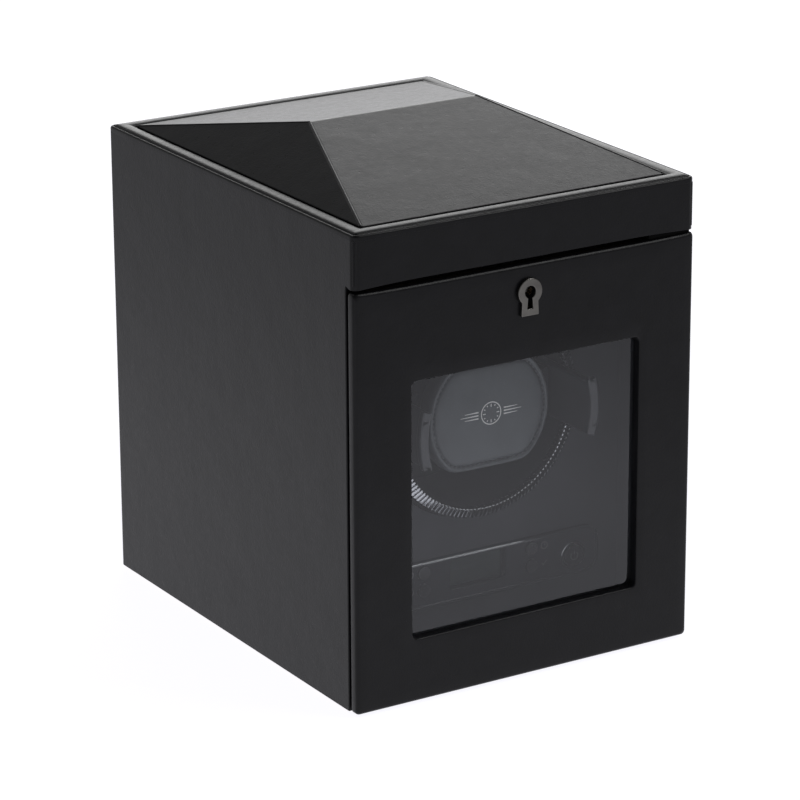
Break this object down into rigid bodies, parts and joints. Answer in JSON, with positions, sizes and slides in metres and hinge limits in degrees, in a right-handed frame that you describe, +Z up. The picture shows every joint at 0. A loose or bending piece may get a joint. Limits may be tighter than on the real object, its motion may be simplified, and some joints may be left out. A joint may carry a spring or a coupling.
{
  "type": "watch winder box",
  "caption": "Leather-covered upright watch winder box with a hipped roof set in a rim, a glazed lockable door and a motor-driven drum that turns a removable watch cuff.",
  "frame": {"origin": "middle of the box's footprint at the underside of the base felt", "axes": "+Z up, door and window face -Y, +X to the right of someone facing the door"},
  "size_m": [0.158, 0.2002, 0.214],
  "materials": {
    "board": "satin raw board",
    "black_leather": "fine-grained satin leatherette",
    "felt": "pressed felt",
    "suede_lining": "flocked suede cloth",
    "gloss_black": "polished black plastic",
    "display_window": "smoked clear window",
    "display": "grey-green liquid crystal",
    "circuit_board": "green solder mask",
    "black_plastic": "satin moulded plastic",
    "button_black": "soft black key caps",
    "chrome_trim": "polished trim ring",
    "lead_black": "soft sheath",
    "lead_red": "soft sheath",
    "steel": "bright steel",
    "motor_can": "dark coated can",
    "bronze": "sintered bronze",
    "brass": "plain brass",
    "gunmetal": "dark burnished metal",
    "rubber": "soft black rubber",
    "door_glass": "smoke-tinted flat glass",
    "ring_metal": "dark coin-edged metal",
    "acetal": "white acetal",
    "pad_leather": "soft smooth stitched leatherette"
  },
  "bodies": {
    "case": {"side_panel_left": "board", "side_panel_right": "board", "back_panel": "board", "bottom_panel": "board", "top_panel": "board", "header_board": "board", "case_leather": "black_leather", "top_rim": "black_leather", "roof_core": "board", "roof_leather": "black_leather", "base_felt": "felt", "baffle": "suede_lining", "cavity_lining": "suede_lining", "fascia": "gloss_black", "display_lens": "display_window", "lcd_module": "display", "control_board": "circuit_board", "tact_switches": "black_plastic", "power_ring": "chrome_trim", "dc_jack": "black_plastic", "jack_lead": "lead_black", "motor_lead": "lead_red", "drum_bracket": "steel", "shaft_bushings": "bronze", "bracket_screws": "steel", "gearbox": "steel", "motor": "motor_can", "strike_plate": "gunmetal", "case_hinge_leaves": "gunmetal", "hinge_pins": "steel", "case_hinge_screws": "gunmetal", "door_bumpers": "rubber"},
    "door": {"door_board": "board", "door_leather": "black_leather", "door_glass": "door_glass", "door_inner_frame": "suede_lining", "escutcheon": "gunmetal", "lock_case": "gunmetal", "lock_cover": "gunmetal", "lock_spring": "steel", "door_hinge_leaves": "gunmetal", "door_hinge_screws": "gunmetal"},
    "lock_bolt": {"lock_bolt": "brass"},
    "drum": {"drum_shell": "black_plastic", "drum_ring": "ring_metal", "drum_arms": "black_plastic", "drum_shaft": "steel", "drum_gear": "acetal", "drum_screws": "steel", "shaft_clip": "steel"},
    "pinion": {"motor_pinion": "brass"},
    "cuff": {"cuff_frame": "black_plastic", "cuff_pad": "pad_leather", "cuff_springs": "steel"},
    "saddle": {"cuff_saddle": "black_plastic"},
    "mode_button": {"mode_button": "button_black"},
    "turns_button": {"turns_button": "button_black"},
    "delay_button": {"delay_button": "button_black"},
    "set_button": {"set_button": "button_black"},
    "power_button": {"power_button": "button_black"}
  },
  "joints": [
    {"name": "door_hinge", "type": "hinge", "parent": "case", "child": "door", "pos_m": [0.0776, -0.09275, 0.09], "axis": [0, 0, 1], "range_deg": [0, 110]},
    {"name": "bolt_slide", "type": "slide", "parent": "door", "child": "lock_bolt", "axis": [0, 0, 1], "range_m": [0, 0.0075]},
    {"name": "drum_spin", "type": "hinge", "parent": "case", "child": "drum", "pos_m": [0, 0.0015, 0.104], "axis": [0, 1, 0], "continuous": true},
    {"name": "pinion_spin", "type": "hinge", "parent": "case", "child": "pinion", "pos_m": [0, 0.0125, 0.059], "axis": [0, 1, 0], "continuous": true},
    {"name": "cuff_slide", "type": "slide", "parent": "drum", "child": "cuff", "axis": [0, -1, 0], "range_m": [0, 0.012]},
    {"name": "saddle_slide", "type": "slide", "parent": "cuff", "child": "saddle", "axis": [0, -1, 0], "range_m": [0, 0.0035], "stiffness_N_per_m": 400, "deforming": ["cuff_springs"]},
    {"name": "mode_press", "type": "slide", "parent": "case", "child": "mode_button", "axis": [0, 1, 0], "range_m": [0, 0.0008], "stiffness_N_per_m": 300},
    {"name": "turns_press", "type": "slide", "parent": "case", "child": "turns_button", "axis": [0, 1, 0], "range_m": [0, 0.0008], "stiffness_N_per_m": 300},
    {"name": "delay_press", "type": "slide", "parent": "case", "child": "delay_button", "axis": [0, 1, 0], "range_m": [0, 0.0008], "stiffness_N_per_m": 300},
    {"name": "set_press", "type": "slide", "parent": "case", "child": "set_button", "axis": [0, 1, 0], "range_m": [0, 0.0008], "stiffness_N_per_m": 300},
    {"name": "power_press", "type": "slide", "parent": "case", "child": "power_button", "axis": [0, 1, 0], "range_m": [0, 0.0008], "stiffness_N_per_m": 300}
  ],
  "couplings": [
    {"joint": "pinion_spin", "follows": "drum_spin", "ratio": -4}
  ]
}
